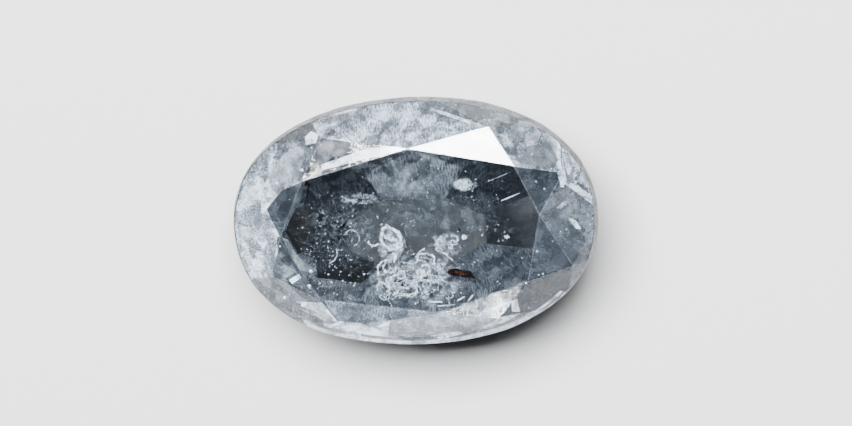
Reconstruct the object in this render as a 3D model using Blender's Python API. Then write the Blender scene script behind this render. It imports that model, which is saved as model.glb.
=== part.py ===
"""Faceted oval topaz, cut from one crystal, lying on its small flat culet with the table up.

The stone is made the way a cutter makes it: a ground oval preform first, then one flat after another
is lapped off it. Every flat is a plane, so the finished stone is one closed convex solid.
Frame: metres, +X along the length, +Z out of the table, origin on the resting flat under the middle.
"""
import math
from collections import namedtuple

import bmesh
import bpy
from mathutils import Vector

MM = 0.001

# Driving sizes: a 12 mm long oval, a little wider than the usual 8 mm
LENGTH = 12.0 * MM
WIDTH = 8.2 * MM
OVAL_POWER = 2.17
PAVILION_DEPTH = 2.90 * MM
GIRDLE_THICKNESS = 0.60 * MM
CROWN_HEIGHT = 1.25 * MM
GIRDLE_BULGE = 0.05 * MM
PREFORM_SIDES = 96

# Crown: the eight corners of the table, counter-clockwise from the right-hand end, uneven as cut by hand
TABLE_CORNERS = (
    (4.28 * MM, 0.30 * MM),
    (3.55 * MM, 1.97 * MM),
    (0.13 * MM, 2.70 * MM),
    (-3.43 * MM, 1.80 * MM),
    (-4.29 * MM, -0.09 * MM),
    (-3.09 * MM, -2.19 * MM),
    (0.79 * MM, -2.80 * MM),
    (3.74 * MM, -1.88 * MM),
)
KITE_BEARINGS = (3, 50, 91, 132, 181, 231, 271, 307)
STAR_SLOPES = (27, 22, 21, 21, 18, 20, 22, 24)
GIRDLE_FACET_SHARES = (0.25, 0.75)
DEEP_GIRDLE_FACETS = {(0, 0): 0.05 * MM, (3, 0): 0.12 * MM, (4, 0): 0.03 * MM, (5, 1): 0.10 * MM}

# Pavilion: two tiers of flats between three ovals, the lower ones a little nearer the front
Oval = namedtuple("Oval", "half_length half_width centre_x centre_y height")
GIRDLE_FOOT = PAVILION_DEPTH
GIRDLE_TOP = PAVILION_DEPTH + GIRDLE_THICKNESS
TABLE_HEIGHT = GIRDLE_TOP + CROWN_HEIGHT
UPPER_RIM = Oval(LENGTH / 2, WIDTH / 2, 0.0, 0.0, GIRDLE_TOP)
LOWER_RIM = Oval(LENGTH / 2, WIDTH / 2, 0.0, 0.0, GIRDLE_FOOT)
PAVILION_BREAK = Oval(4.30 * MM, 2.35 * MM, 0.0, -0.30 * MM, 1.00 * MM)
CULET = Oval(2.30 * MM, 1.20 * MM, -0.15 * MM, -0.64 * MM, 0.0)
UPPER_TIER_FLATS = 16
LOWER_TIER_FLATS = 8

# Nicks: bearing, slope and depth of the small chips on the girdle
NICKS = (
    (322, 78, 0.05 * MM),
    (18, 112, 0.05 * MM),
    (205, 70, 0.04 * MM),
)

MERGE_DISTANCE = 0.002 * MM
CUT_TOLERANCE = 0.0001 * MM

TOPAZ_COLOUR = (0.80, 0.83, 0.86, 1.0)
TOPAZ_IOR = 1.62
POLISH_ROUGHNESS = 0.04


def clear_scene():
    """Remove every object that the file opens with."""
    for old in list(bpy.data.objects):
        bpy.data.objects.remove(old, do_unlink=True)


def oval_point(oval, angle):
    """Point of an oval at the given angle parameter, as a 3-D vector."""
    c, s = math.cos(angle), math.sin(angle)
    x = math.copysign(abs(c) ** (2 / OVAL_POWER), c) * oval.half_length
    y = math.copysign(abs(s) ** (2 / OVAL_POWER), s) * oval.half_width
    return Vector((oval.centre_x + x, oval.centre_y + y, oval.height))


def reach(oval, bearing):
    """Distance from the axis to the oval's tangent line that faces the bearing."""
    # The support function of a superellipse uses the conjugate power
    q = OVAL_POWER / (OVAL_POWER - 1)
    c, s = math.cos(bearing), math.sin(bearing)
    radius = ((oval.half_length * abs(c)) ** q + (oval.half_width * abs(s)) ** q) ** (1 / q)
    return radius + oval.centre_x * c + oval.centre_y * s


def facing(bearing, slope):
    """Unit normal of a flat that leans down the bearing by the slope from level."""
    return Vector((
        math.cos(bearing) * math.sin(slope),
        math.sin(bearing) * math.sin(slope),
        math.cos(slope),
    ))


def along(bearing, distance, height):
    """Point at a distance from the axis along the bearing."""
    return Vector((math.cos(bearing) * distance, math.sin(bearing) * distance, height))


def lap(mesh, point, normal):
    """Grind one flat: cut off what lies outside the plane and close the cut."""
    geometry = mesh.verts[:] + mesh.edges[:] + mesh.faces[:]
    cut = bmesh.ops.bisect_plane(
        mesh, geom=geometry, dist=CUT_TOLERANCE, plane_co=point, plane_no=normal, clear_outer=True)
    rim = [item for item in cut["geom_cut"] if isinstance(item, bmesh.types.BMEdge)]
    if rim:
        bmesh.ops.edgeloop_fill(mesh, edges=rim)


def meeting_point(planes):
    """Point where three planes, each a point and a normal, cross."""
    (p1, n1), (p2, n2), (p3, n3) = planes
    volume = n1.dot(n2.cross(n3))
    total = n2.cross(n3) * p1.dot(n1) + n3.cross(n1) * p2.dot(n2) + n1.cross(n2) * p3.dot(n3)
    return total / volume


def preform():
    """Ground oval blank with a slightly bulged wall, taller than the finished stone."""
    mesh = bmesh.new()
    bmesh.ops.create_cone(
        mesh, cap_ends=True, segments=PREFORM_SIDES, radius1=1.0, radius2=1.0, depth=2.0)
    for share in (-0.5, 0.0, 0.5):
        geometry = mesh.verts[:] + mesh.edges[:] + mesh.faces[:]
        bmesh.ops.bisect_plane(
            mesh, geom=geometry, dist=CUT_TOLERANCE, plane_co=(0, 0, share), plane_no=(0, 0, 1))
    # From the foot up: overlength, foot, middle and top of the girdle, overlength
    heights = (-MM, GIRDLE_FOOT, GIRDLE_FOOT + GIRDLE_THICKNESS / 2, GIRDLE_TOP, TABLE_HEIGHT + MM)
    # The wall bulges by a hair in the middle of the girdle and runs plumb above and below it
    flat_wall = 1.0 - GIRDLE_BULGE / (WIDTH / 2)
    insets = (flat_wall, flat_wall, 1.0, flat_wall, flat_wall)
    for vertex in mesh.verts:
        row = round((vertex.co.z + 1.0) * 2)
        point = oval_point(UPPER_RIM, math.atan2(vertex.co.y, vertex.co.x))
        vertex.co = Vector((point.x * insets[row], point.y * insets[row], heights[row]))
    return mesh


def kite_planes():
    """The eight main crown flats: each from a table corner down to the girdle."""
    planes = []
    for corner, degrees in zip(TABLE_CORNERS, KITE_BEARINGS):
        bearing = math.radians(degrees)
        start = Vector((corner[0], corner[1], TABLE_HEIGHT))
        run = reach(UPPER_RIM, bearing) - along(bearing, 1.0, 0.0).dot(start)
        planes.append((start, facing(bearing, math.atan2(CROWN_HEIGHT, run))))
    return planes


def star_planes():
    """The eight star flats: each leans down from one edge of the table."""
    planes = []
    count = len(TABLE_CORNERS)
    for index, degrees in enumerate(STAR_SLOPES):
        here = TABLE_CORNERS[index]
        after = TABLE_CORNERS[(index + 1) % count]
        bearing = math.atan2(here[0] - after[0], after[1] - here[1])
        start = Vector((here[0], here[1], TABLE_HEIGHT))
        planes.append((start, facing(bearing, math.radians(degrees))))
    return planes


def upper_girdle_planes(kites, stars):
    """The sixteen flats between the star tips and the girdle, some lapped a little too deep."""
    planes = []
    count = len(kites)
    for index in range(count):
        tip = meeting_point((kites[index], kites[(index + 1) % count], stars[index]))
        first = KITE_BEARINGS[index]
        last = KITE_BEARINGS[(index + 1) % count] + (360 if index == count - 1 else 0)
        for side, share in enumerate(GIRDLE_FACET_SHARES):
            bearing = math.radians(first + share * (last - first))
            run = reach(UPPER_RIM, bearing) - along(bearing, 1.0, 0.0).dot(tip)
            normal = facing(bearing, math.atan2(tip.z - GIRDLE_TOP, run))
            depth = DEEP_GIRDLE_FACETS.get((index, side), 0.0)
            planes.append((tip - normal * depth, normal))
    return planes


def tier_planes(upper, lower, flats, offset):
    """Pavilion flats that lie on both ovals, evenly spread by the oval's own angle."""
    planes = []
    for index in range(flats):
        turn = 2 * math.pi * (index + offset) / flats
        # The bearing of the oval's edge there, so that long flats follow the long sides
        bearing = math.atan2(
            math.copysign(abs(math.sin(turn)) ** (2 - 2 / OVAL_POWER), math.sin(turn)) / upper.half_width,
            math.copysign(abs(math.cos(turn)) ** (2 - 2 / OVAL_POWER), math.cos(turn)) / upper.half_length)
        high, low = reach(upper, bearing), reach(lower, bearing)
        slope = math.atan2(upper.height - lower.height, high - low)
        planes.append((along(bearing, high, upper.height), facing(bearing, math.pi - slope)))
    return planes


def nick_planes():
    """Small chips struck off the girdle."""
    planes = []
    middle = GIRDLE_FOOT + GIRDLE_THICKNESS / 2
    for degrees, slope, depth in NICKS:
        bearing = math.radians(degrees)
        edge = GIRDLE_TOP if slope < 90 else GIRDLE_FOOT
        height = edge + math.copysign(depth, middle - edge)
        planes.append((along(bearing, reach(UPPER_RIM, bearing) - depth, height),
                       facing(bearing, math.radians(slope))))
    return planes


def topaz_material():
    """Polished colourless topaz."""
    material = bpy.data.materials.new("polished_topaz")
    material.use_nodes = True
    shader = material.node_tree.nodes["Principled BSDF"]
    shader.inputs["Base Color"].default_value = TOPAZ_COLOUR
    shader.inputs["Metallic"].default_value = 0.0
    shader.inputs["Roughness"].default_value = POLISH_ROUGHNESS
    shader.inputs["IOR"].default_value = TOPAZ_IOR
    shader.inputs["Transmission Weight"].default_value = 1.0
    return material


def cut_stone(collection):
    """Cut the stone from its preform and link it to the collection."""
    mesh = preform()
    lap(mesh, Vector((0, 0, TABLE_HEIGHT)), Vector((0, 0, 1)))
    lap(mesh, Vector((0, 0, CULET.height)), Vector((0, 0, -1)))
    kites = kite_planes()
    stars = star_planes()
    flats = kites + stars + upper_girdle_planes(kites, stars)
    flats += tier_planes(LOWER_RIM, PAVILION_BREAK, UPPER_TIER_FLATS, 0.5)
    flats += tier_planes(PAVILION_BREAK, CULET, LOWER_TIER_FLATS, 0.0)
    flats += nick_planes()
    for point, normal in flats:
        lap(mesh, point, normal)
    bmesh.ops.remove_doubles(mesh, verts=mesh.verts[:], dist=MERGE_DISTANCE)
    bmesh.ops.recalc_face_normals(mesh, faces=mesh.faces[:])
    data = bpy.data.meshes.new("topaz")
    mesh.to_mesh(data)
    mesh.free()
    data.materials.append(topaz_material())
    stone = bpy.data.objects.new("topaz", data)
    collection.objects.link(stone)
    return stone


def main():
    """Build the stone in its own collection."""
    clear_scene()
    collection = bpy.data.collections.new("Oval topaz")
    bpy.context.scene.collection.children.link(collection)
    cut_stone(collection)


main()
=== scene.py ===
"""Looks of the oval topaz: worn polished flats over a clear crystal with veils, cracks, threads and rust.

Lengths are in metres where nothing else is said. +X is the stone's length and +Z is square out of its table.
"""
import logging
import math
import random
from dataclasses import dataclass, field
from enum import Enum, IntEnum
from typing import Any, Iterable

import bmesh
import bpy
from mathutils import Matrix, Vector
from mathutils.bvhtree import BVHTree


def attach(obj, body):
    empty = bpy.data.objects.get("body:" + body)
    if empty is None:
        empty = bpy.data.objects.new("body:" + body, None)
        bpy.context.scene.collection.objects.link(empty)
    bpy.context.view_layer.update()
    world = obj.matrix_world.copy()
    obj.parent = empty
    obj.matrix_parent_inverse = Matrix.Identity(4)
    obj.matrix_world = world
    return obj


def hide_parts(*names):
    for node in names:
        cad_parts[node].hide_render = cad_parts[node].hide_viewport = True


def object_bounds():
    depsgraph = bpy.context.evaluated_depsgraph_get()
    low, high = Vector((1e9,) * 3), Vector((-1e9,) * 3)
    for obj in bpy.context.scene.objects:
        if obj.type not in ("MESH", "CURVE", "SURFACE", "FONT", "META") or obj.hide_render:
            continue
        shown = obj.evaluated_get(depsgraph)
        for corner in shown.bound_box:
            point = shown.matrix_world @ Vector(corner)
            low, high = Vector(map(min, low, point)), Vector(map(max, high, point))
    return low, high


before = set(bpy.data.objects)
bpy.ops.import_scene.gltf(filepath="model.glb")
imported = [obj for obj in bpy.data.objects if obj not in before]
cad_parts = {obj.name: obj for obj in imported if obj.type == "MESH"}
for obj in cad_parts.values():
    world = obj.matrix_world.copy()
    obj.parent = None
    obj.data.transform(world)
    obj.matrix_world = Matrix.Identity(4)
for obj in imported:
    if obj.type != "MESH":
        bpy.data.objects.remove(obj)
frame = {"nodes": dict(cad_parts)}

CAD_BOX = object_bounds()

MM = 0.001
NODE = "topaz"
BODY = "root"
TOPAZ_IOR = 1.62

# Attributes that take the haze's brightness, which also carries painted light and shade, its cover and the
# place on its flat to the material
HAZE_AND_PAINTED_LIGHT_TONE = "haze_and_painted_light_tone"
HAZE_COVER = "haze_cover"
HAZE_PLACE = "haze_place"

log = logging.getLogger("topaz")


def linear(code: str) -> tuple[float, float, float, float]:
    """Turn an sRGB hex colour into linear light.

    Args:
        code: Colour as "#rrggbb".

    Returns:
        Red, green, blue and alpha, with alpha 1.
    """
    shares = [int(code[i:i + 2], 16) / 255 for i in (1, 3, 5)]
    light = [s / 12.92 if s <= 0.04045 else ((s + 0.055) / 1.055) ** 2.4 for s in shares]
    return light[0], light[1], light[2], 1.0


def add_node(tree: bpy.types.NodeTree, kind: str, values: dict[Any, Any] | None = None,
             links: dict[Any, Any] | None = None, **settings: Any) -> bpy.types.Node:
    """Add one node with its settings, socket values and links.

    Args:
        tree: Tree that gets the node.
        kind: Type name of the node.
        values: Value of each input that isn't linked, by name or index.
        links: Output socket that feeds each linked input, by name or index.
        settings: Properties of the node itself.

    Returns:
        The new node.
    """
    node = tree.nodes.new(kind)
    for name, value in settings.items():
        setattr(node, name, value)
    for socket, value in (values or {}).items():
        node.inputs[socket].default_value = value
    for socket, source in (links or {}).items():
        tree.links.new(source, node.inputs[socket])
    return node


def new_material(
        name: str, values: dict[str, Any]) -> tuple[bpy.types.Material, bpy.types.NodeTree, bpy.types.Node]:
    """Make a material with one Principled shader.

    Args:
        name: Name of the material.
        values: Value of each of the shader's inputs that isn't linked, by name.

    Returns:
        The material, its node tree and the shader node.
    """
    material = bpy.data.materials.new(name)
    material.use_nodes = True
    tree = material.node_tree
    shader = tree.nodes["Principled BSDF"]
    for socket, value in values.items():
        shader.inputs[socket].default_value = value
    return material, tree, shader


def link_object(name: str, mesh: bpy.types.Mesh) -> bpy.types.Object:
    """Put a mesh in the scene as an object at the origin.

    Args:
        name: Name of the object.
        mesh: Its mesh.

    Returns:
        The object.
    """
    thing = bpy.data.objects.new(name, mesh)
    bpy.context.scene.collection.objects.link(thing)
    return thing


def as_mesh(name: str, mesh: bmesh.types.BMesh) -> bpy.types.Mesh:
    """Turn an edit mesh into a plain one, and free it.

    Args:
        name: Name of the plain mesh.
        mesh: The edit mesh.

    Returns:
        The plain mesh.
    """
    data = bpy.data.meshes.new(name)
    mesh.to_mesh(data)
    mesh.free()
    return data


def finish_piece(piece: bpy.types.Object) -> bpy.types.Object:
    """Let a piece ride with the stone.

    Args:
        piece: The piece.

    Returns:
        The same piece.
    """
    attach(piece, BODY)
    log.info("built %s with %d faces", piece.name, len(piece.data.polygons))
    return piece


class Part(IntEnum):
    """Material slots of the stone, by how each face was worked."""

    TABLE = 0
    STAR = 1
    CROWN = 2
    PAVILION = 3
    GIRDLE = 4
    CULET = 5
    EDGE = 6


class Grain(Enum):
    """How far the specks of a veil are drawn out: pattern scale across the flat, down it and through it."""

    EVEN = (1.0, 1.0, 1.0)
    BRUSHED = (1.0, 0.35, 1.0)
    DRAWN_OUT = (1.0, 0.12, 1.0)


@dataclass(frozen=True)
class TopazSurface:
    """Colourless topaz, clear right through, with the finish that the lap or the grinding wheel left.

    Attributes:
        name: Name of the material.
        smooth: Roughness of its best polished spots.
        dull: Roughness where it is most rubbed.
        patch: Size of a rubbed patch in metres.
        scratch: Spacing of the scratches in metres.
        scratch_depth: Depth that the scratches seem to have, in metres.
        scratch_turn: Angle of the scratches in radians.
        scratch_stretch: Scale of the scratches' pattern along X, Y and Z, small along their length.
        wave: Distance between the swells of a flat made by hand, in metres.
        wave_depth: How far it swells and sinks, in metres.
        wave_seed: Which draw of the swells it has.
        clearness: Share of light that goes through and isn't scattered by the ground skin.
        colour: Colour of that skin.
        low_colour: Colour of its low spots, where it has any.
        shine: Specular level, 0.5 for a clean surface and less for a crumbly one.
        tint: Colour of the light that is left after the clear depth of the stone.
        tint_density: How soon the tint shows, per metre.
    """

    name: str
    smooth: float
    dull: float
    patch: float = 0.5 * MM
    scratch: float = 0.06 * MM
    scratch_depth: float = 0.0004 * MM
    scratch_turn: float = 0.5
    scratch_stretch: tuple[float, float, float] = (1.0, 0.12, 0.4)
    wave: float = 1.6 * MM
    wave_depth: float = 0.002 * MM
    wave_seed: float = 0.0
    clearness: float = 1.0
    colour: str = "#f6f9fc"
    low_colour: str | None = None
    shine: float = 0.5
    tint: str = "#eef4fa"
    tint_density: float = 8.0

    def build(self) -> bpy.types.Material:
        """Build the material.

        Returns:
            A see-through material with patchy gloss, fine scratches and a faint cold tint in depth.
        """
        material, tree, shader = new_material(self.name, {
            "Base Color": linear(self.colour), "IOR": TOPAZ_IOR, "Specular IOR Level": self.shine,
            "Transmission Weight": self.clearness})
        place = add_node(tree, "ShaderNodeTexCoord").outputs["Object"]
        patches = add_node(tree, "ShaderNodeTexNoise",
                           {"Scale": 1 / self.patch, "Detail": 5.0, "Roughness": 0.65}, {"Vector": place})
        gloss = add_node(tree, "ShaderNodeMapRange",
                         {"From Min": 0.38, "From Max": 0.68, "To Min": self.smooth, "To Max": self.dull},
                         {"Value": patches.outputs[0]})
        # Hairline scratches, drawn some ten times coarser than real ones so that they show
        drawn_out = add_node(tree, "ShaderNodeMapping",
                             {"Rotation": (0.0, 0.0, self.scratch_turn), "Scale": self.scratch_stretch},
                             {"Vector": place})
        scratches = add_node(tree, "ShaderNodeTexNoise", {"Scale": 1 / self.scratch, "Detail": 3.0},
                             {"Vector": drawn_out.outputs[0]})
        waves = add_node(tree, "ShaderNodeTexNoise",
                         {"Scale": 1 / self.wave, "Detail": 1.0, "W": self.wave_seed}, {"Vector": place},
                         noise_dimensions="4D")
        swell = add_node(tree, "ShaderNodeBump", {"Strength": 1.0, "Distance": self.wave_depth},
                         {"Height": waves.outputs[0]})
        relief = add_node(tree, "ShaderNodeBump", {"Strength": 1.0, "Distance": self.scratch_depth},
                          {"Height": scratches.outputs[0], "Normal": swell.outputs[0]})
        if self.low_colour:
            share = add_node(tree, "ShaderNodeMapRange", {"From Min": 0.38, "From Max": 0.62},
                             {"Value": patches.outputs[0]})
            skin = add_node(tree, "ShaderNodeMix", {"A": linear(self.colour), "B": linear(self.low_colour)},
                            {"Factor": share.outputs[0]}, data_type="RGBA")
            tree.links.new(skin.outputs["Result"], shader.inputs["Base Color"])
        tree.links.new(gloss.outputs[0], shader.inputs["Roughness"])
        tree.links.new(relief.outputs[0], shader.inputs["Normal"])
        depth = add_node(tree, "ShaderNodeVolumeAbsorption",
                         {"Color": linear(self.tint), "Density": self.tint_density})
        tree.links.new(depth.outputs[0], tree.nodes["Material Output"].inputs["Volume"])
        return material


@dataclass(frozen=True)
class MilkyVeil:
    """Cloud of bubbles and hair cracks too small to see one by one: a haze with grainy, blotchy tone.

    How bright and how dense it is comes from the haze_and_painted_light_tone and haze_cover attributes of its
    sheet.

    Attributes:
        name: Name of the material.
        blotch: Size of its light and dark places in metres.
        speck: Size of its grains in metres, some three times the real ones so that they show.
        contrast: How much the grains stand out, from 0 to 1.
        ragged: How much the blotches stand out; above 1 they leave clear holes.
        block: Size of the crystal blocks that it follows, in metres.
        blocky: How much one block differs from the next, from 0 to 1.
        crooked: How far the blocks' sides are bent, as a share of a block.
        bubble_gap: Distance between single bubbles in metres.
        bubbly: How bright the single bubbles are, from 0 to 1.
        grain: Which way the grains are drawn out.
        light: Colour where it is brightest.
        dark: Colour where it is clear: painted shade that stands for the dark inside of the stone.
    """

    name: str
    blotch: float = 0.5 * MM
    speck: float = 0.035 * MM
    contrast: float = 0.4
    ragged: float = 0.4
    block: float = 0.40 * MM
    blocky: float = 0.30
    crooked: float = 0.9
    bubble_gap: float = 0.28 * MM
    bubbly: float = 0.6
    grain: Grain = Grain.EVEN
    light: str = "#eaf2fb"
    # Painted shade: the dark inside of the stone, laid into the haze's colour
    dark: str = "#181c22"

    def swing(self, tree: bpy.types.NodeTree, pattern: bpy.types.NodeSocket,
              amount: float) -> bpy.types.NodeSocket:
        """Add a node that turns a pattern into a factor round 1.

        Args:
            tree: Node tree of the material.
            pattern: The pattern.
            amount: How far the factor swings on both sides of 1.

        Returns:
            The factor.
        """
        # Noise seldom leaves the middle of its range, so only that part is spread out
        factor = add_node(tree, "ShaderNodeMapRange",
                          {"From Min": 0.36, "From Max": 0.64, "To Min": 1 - amount, "To Max": 1 + amount},
                          {"Value": pattern})
        return factor.outputs[0]

    def mottle(self, tree: bpy.types.NodeTree, place: bpy.types.NodeSocket) -> bpy.types.NodeSocket:
        """Add nodes for how thick the haze is from spot to spot.

        Args:
            tree: Node tree of the material.
            place: Object coordinates.

        Returns:
            A factor round 1.
        """
        on_flat = add_node(tree, "ShaderNodeAttribute", attribute_name=HAZE_PLACE)
        drawn_out = add_node(tree, "ShaderNodeMapping", {"Scale": self.grain.value},
                             {"Vector": on_flat.outputs["Vector"]})
        blotches = add_node(tree, "ShaderNodeTexNoise",
                            {"Scale": 1 / self.blotch, "Detail": 8.0, "Roughness": 0.7}, {"Vector": place})
        specks = add_node(tree, "ShaderNodeTexNoise",
                          {"Scale": 1 / self.speck, "Detail": 2.0, "Roughness": 0.7},
                          {"Vector": drawn_out.outputs[0]})
        # Noise bends the place before the blocks are laid out, so that their sides are crooked
        bend = (self.block * self.crooked,) * 3
        bent = add_node(tree, "ShaderNodeVectorMath", {1: bend}, {0: blotches.outputs["Color"], 2: place},
                        operation="MULTIPLY_ADD")
        blocks = add_node(tree, "ShaderNodeTexVoronoi", {"Scale": 1 / self.block, "Smoothness": 0.5},
                          {"Vector": bent.outputs[0]}, feature="SMOOTH_F1")
        thick = self.swing(tree, blotches.outputs[0], self.ragged)
        grainy = self.swing(tree, specks.outputs[0], self.contrast)
        blocky = self.swing(tree, blocks.outputs["Color"], self.blocky)
        mottled = add_node(tree, "ShaderNodeMath", None, {0: thick, 1: grainy}, operation="MULTIPLY")
        return add_node(tree, "ShaderNodeMath", None, {0: mottled.outputs[0], 1: blocky},
                        operation="MULTIPLY").outputs[0]

    def bubbles(self, tree: bpy.types.NodeTree, place: bpy.types.NodeSocket) -> bpy.types.NodeSocket:
        """Add nodes that dot the haze with bubbles large enough to see, in less than half of their cells.

        Args:
            tree: Node tree of the material.
            place: Object coordinates.

        Returns:
            How bright and solid the dots are, 0 between them.
        """
        cells = add_node(tree, "ShaderNodeTexVoronoi", {"Scale": 1 / self.bubble_gap}, {"Vector": place})
        dot = add_node(tree, "ShaderNodeMapRange", {"From Min": 0.15, "From Max": 0.07},
                       {"Value": cells.outputs["Distance"]})
        chosen = add_node(tree, "ShaderNodeMapRange",
                          {"From Min": 0.52, "From Max": 0.70, "To Max": self.bubbly},
                          {"Value": cells.outputs["Color"]})
        return add_node(tree, "ShaderNodeMath", None, {0: dot.outputs[0], 1: chosen.outputs[0]},
                        operation="MULTIPLY").outputs[0]

    def build(self) -> bpy.types.Material:
        """Build the material.

        Returns:
            A matt material with mottled tone and alpha.
        """
        material, tree, shader = new_material(self.name, {"Roughness": 0.9, "Specular IOR Level": 0.0})
        place = add_node(tree, "ShaderNodeTexCoord").outputs["Object"]
        mottle = self.mottle(tree, place)
        dots = self.bubbles(tree, place)
        tone = add_node(tree, "ShaderNodeAttribute", attribute_name=HAZE_AND_PAINTED_LIGHT_TONE)
        cover = add_node(tree, "ShaderNodeAttribute", attribute_name=HAZE_COVER)
        share = add_node(tree, "ShaderNodeMath", None, {0: mottle, 1: tone.outputs["Fac"], 2: dots},
                         operation="MULTIPLY_ADD", use_clamp=True)
        colour = add_node(tree, "ShaderNodeMix", {"A": linear(self.dark), "B": linear(self.light)},
                          {"Factor": share.outputs[0]}, data_type="RGBA")
        alpha = add_node(tree, "ShaderNodeMath", None, {0: mottle, 1: cover.outputs["Fac"], 2: dots},
                         operation="MULTIPLY_ADD", use_clamp=True)
        tree.links.new(colour.outputs["Result"], shader.inputs["Base Color"])
        tree.links.new(alpha.outputs[0], shader.inputs["Alpha"])
        return material


@dataclass(frozen=True)
class Crumb:
    """Solid foreign matter in the stone: white crystal crumbs, rust or a black grain.

    Attributes:
        name: Name of the material.
        light: Colour of its light spots.
        dark: Colour of its dark spots.
        spot: Size of a spot in metres.
        roughness: Roughness of its surface.
    """

    name: str
    light: str
    dark: str
    spot: float = 0.06 * MM
    roughness: float = 0.55

    def build(self) -> bpy.types.Material:
        """Build the material.

        Returns:
            A matt two-tone material.
        """
        # Little of the light turns back where crystal meets crystal
        material, tree, shader = new_material(self.name, {
            "Roughness": self.roughness, "Specular IOR Level": 0.1})
        place = add_node(tree, "ShaderNodeTexCoord").outputs["Object"]
        spots = add_node(tree, "ShaderNodeTexNoise", {"Scale": 1 / self.spot, "Detail": 3.0},
                         {"Vector": place})
        share = add_node(tree, "ShaderNodeMapRange", {"From Min": 0.4, "From Max": 0.6},
                         {"Value": spots.outputs[0]})
        tone = add_node(tree, "ShaderNodeMix", {"A": linear(self.dark), "B": linear(self.light)},
                        {"Factor": share.outputs[0]}, data_type="RGBA")
        tree.links.new(tone.outputs["Result"], shader.inputs["Base Color"])
        return material


# Polished on a fine lap: clear as glass, with a hard glint
POLISHED = TopazSurface("polished_topaz", smooth=0.01, dull=0.05)
# Stars domed a little by hand polishing: their glint bends and spreads
DOMED = TopazSurface("domed_star_topaz", smooth=0.02, dull=0.16, patch=0.3 * MM, scratch_depth=0.0010 * MM,
                     wave=3.2 * MM, wave_depth=0.100 * MM, wave_seed=6.0)
# Crown flats rubbed by wear: a soft and patchy glint
WORN = TopazSurface("rubbed_crown_topaz", smooth=0.05, dull=0.30, patch=0.35 * MM,
                    scratch_depth=0.001 * MM, wave_depth=0.02 * MM)
# Pavilion flats left as lapped: clear, with a silky gloss
LAPPED = TopazSurface("lapped_pavilion_topaz", smooth=0.02, dull=0.12, scratch_depth=0.0006 * MM)
# Girdle wall left as ground: frosted grey, painted darker as painted shade, with dark mottles, and little
# shows through
GROUND_WALL_PAINTED_DARK = TopazSurface("ground_girdle_painted_shade_topaz", smooth=0.25, dull=0.55, patch=0.35 * MM,
                           scratch=0.04 * MM, scratch_depth=0.006 * MM, clearness=0.22, colour="#4d5156",
                           low_colour="#232427", shine=0.2)
# Culet ground flat: dull, with a thin grey bloom
GROUND_FOOT = TopazSurface("ground_culet_topaz", smooth=0.30, dull=0.6, patch=0.25 * MM,
                           scratch_depth=0.004 * MM, clearness=0.90, colour="#6c737a")
# Edges chipped by wear to a hair's width: thin, soft lines between the flats
CHIPPED_EDGE = TopazSurface("chipped_edge_topaz", smooth=0.15, dull=0.4, patch=0.1 * MM,
                            scratch_depth=0.002 * MM, clearness=0.95, colour="#f6fafd")
# Haze of fine bubbles under the crown, brushed down each flat: white, with soft streaks, and painted light
# and shade in each flat's tone
CROWN_BUBBLES_AND_PAINTED_LIGHT = MilkyVeil("crown_haze_and_painted_light", contrast=0.45, ragged=0.42, grain=Grain.BRUSHED)
# Haze over the pavilion, grown along its flats: dark, as painted shade over the stone's inside, with fine
# fibres
PAVILION_BUBBLES_AND_PAINTED_SHADE = MilkyVeil("pavilion_haze_and_painted_shade", speck=0.032 * MM, contrast=0.6, ragged=0.3,
                             grain=Grain.DRAWN_OUT)
# Painted reflections and painted shade laid as cleavage plates: one cool tone, hardly grainy
PAINTED_LIGHT_PLATE = MilkyVeil("painted_light_plate", blotch=0.2 * MM, contrast=0.15, ragged=0.35, blocky=0.2,
                    light="#f3f8fc")
# Bubbles in streaks: broken, with clear holes
STREAKY = MilkyVeil("streaky_wisp", blotch=0.30 * MM, contrast=0.7, ragged=1.8)
# Bubbles too small to see: an even, soft mist
SMOOTH = MilkyVeil("smooth_wisp", blotch=0.5 * MM, contrast=0.2, ragged=0.8, blocky=0.15)
# Bubbles in clusters: a grainy cloud with clear gaps
CLOUDY = MilkyVeil("cloudy_wisp", blotch=0.25 * MM, contrast=0.8, ragged=1.4)
# Crumbs of white crystal: bright and chalky
CHALK = Crumb("chalky_crystal_crumbs", light="#ffffff", dark="#a3abb3", spot=0.14 * MM, roughness=0.7)
# Crumbs of clearer crystal: grey and faint
FAINT_CHALK = Crumb("faint_crystal_crumbs", light="#dfe5ea", dark="#6a727a", roughness=0.6)
# Iron rust: nearly black, with brown spots
RUST = Crumb("iron_rust_flake", light="#140a05", dark="#050404", spot=0.14 * MM, roughness=0.7)
# Thin middle of the rust, where light gets in: warm brown
RUST_CORE = Crumb("iron_rust_core", light="#351a09", dark="#100804", spot=0.10 * MM, roughness=0.7)
# Grain of a dark mineral: black, with a slight gloss
DARK_GRAIN = Crumb("dark_mineral_grain", light="#2b2a2c", dark="#0b0b0d", roughness=0.4)


def tree_with(name: str, sizes: dict[str, str]) -> bpy.types.NodeTree:
    """Start a geometry tree with a geometry input and output and named inputs for its sizes.

    Args:
        name: Name of the tree.
        sizes: Socket type of each further input, by name.

    Returns:
        The tree, with its group input node called Input.
    """
    tree = bpy.data.node_groups.new(name, "GeometryNodeTree")
    tree.interface.new_socket("Geometry", in_out="INPUT", socket_type="NodeSocketGeometry")
    for label, kind in sizes.items():
        tree.interface.new_socket(label, in_out="INPUT", socket_type=kind)
    tree.interface.new_socket("Geometry", in_out="OUTPUT", socket_type="NodeSocketGeometry")
    add_node(tree, "NodeGroupInput", name="Input")
    return tree


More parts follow.
